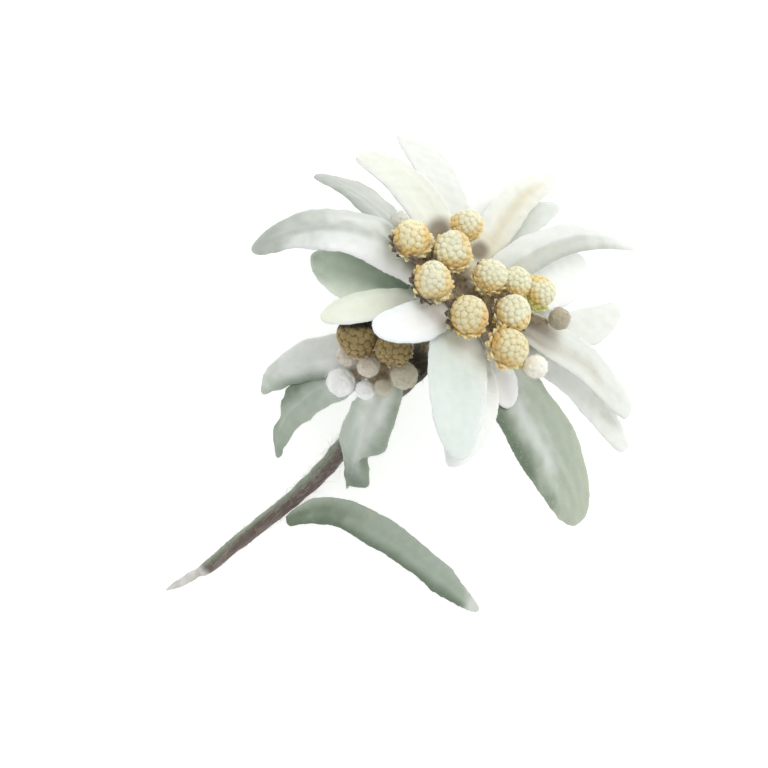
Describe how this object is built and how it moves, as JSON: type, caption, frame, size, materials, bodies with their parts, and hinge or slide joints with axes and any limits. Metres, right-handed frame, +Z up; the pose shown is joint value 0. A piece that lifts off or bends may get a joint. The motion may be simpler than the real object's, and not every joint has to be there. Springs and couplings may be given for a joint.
{
  "type": "cut edelweiss flower",
  "caption": "Cut edelweiss lying on its side: a star of woolly white bracts round clustered yellow flower heads, with a withered side bloom on a branch and a narrow stem leaf.",
  "frame": {"origin": "middle of the flower's box in plan, on the surface that it lies on", "axes": "+X along the stem from its cut end towards the bloom, which leans that way, +Z up from the surface"},
  "size_m": [0.0898, 0.0666, 0.0413],
  "materials": {
    "bract": "white felt of fine matted hairs, matt",
    "side_bract": "grey-green felt, paler at the foot, matt",
    "leaf": "grey-green leaf with a thin grey felt, matt",
    "stem": "brown-purple skin under grey-green wool, matt",
    "cup": "woolly scales with golden and dark brown tips, matt",
    "florets": "pale yellow florets, matt",
    "withered_florets": "withered brown-olive florets, matt",
    "bud": "closed bud wrapped in grey-brown wool, matt"
  },
  "bodies": {
    "root": {"stem": "stem", "stem_leaf": "leaf", "head_1_cup": "cup", "head_1_florets": "florets", "head_2_cup": "cup", "head_2_florets": "florets", "head_3_cup": "cup", "head_3_florets": "florets", "head_4_cup": "cup", "head_4_florets": "florets", "head_5_cup": "cup", "head_5_florets": "florets", "head_6_cup": "cup", "head_6_florets": "florets", "head_7_cup": "cup", "head_7_florets": "florets", "head_8_cup": "cup", "head_8_florets": "florets", "head_9_cup": "cup", "head_9_florets": "florets", "head_10_cup": "cup", "head_10_florets": "florets", "bud_1": "bud", "bud_2": "bud", "bud_3": "bud", "upper_bract_1": "bract", "upper_bract_2": "bract", "upper_bract_3": "bract", "upper_bract_4": "bract", "upper_bract_5": "bract", "upper_bract_6": "bract", "middle_bract_1": "bract", "middle_bract_2": "bract", "middle_bract_3": "bract", "middle_bract_4": "bract", "middle_bract_5": "bract", "middle_bract_6": "bract", "middle_bract_7": "bract", "lower_bract_1": "bract", "lower_bract_2": "bract", "lower_bract_3": "bract", "lower_bract_4": "bract", "lower_bract_5": "bract", "lower_bract_6": "bract", "side_head_1_cup": "cup", "side_head_1_florets": "withered_florets", "side_head_2_cup": "cup", "side_head_2_florets": "withered_florets", "side_bud_1": "bud", "side_bud_2": "bud", "side_bud_3": "bud", "side_bud_4": "bud", "side_bud_5": "bud", "side_bud_6": "bud", "side_upper_bract_1": "side_bract", "side_upper_bract_2": "side_bract", "side_upper_bract_3": "side_bract"}
  },
  "joints": []
}
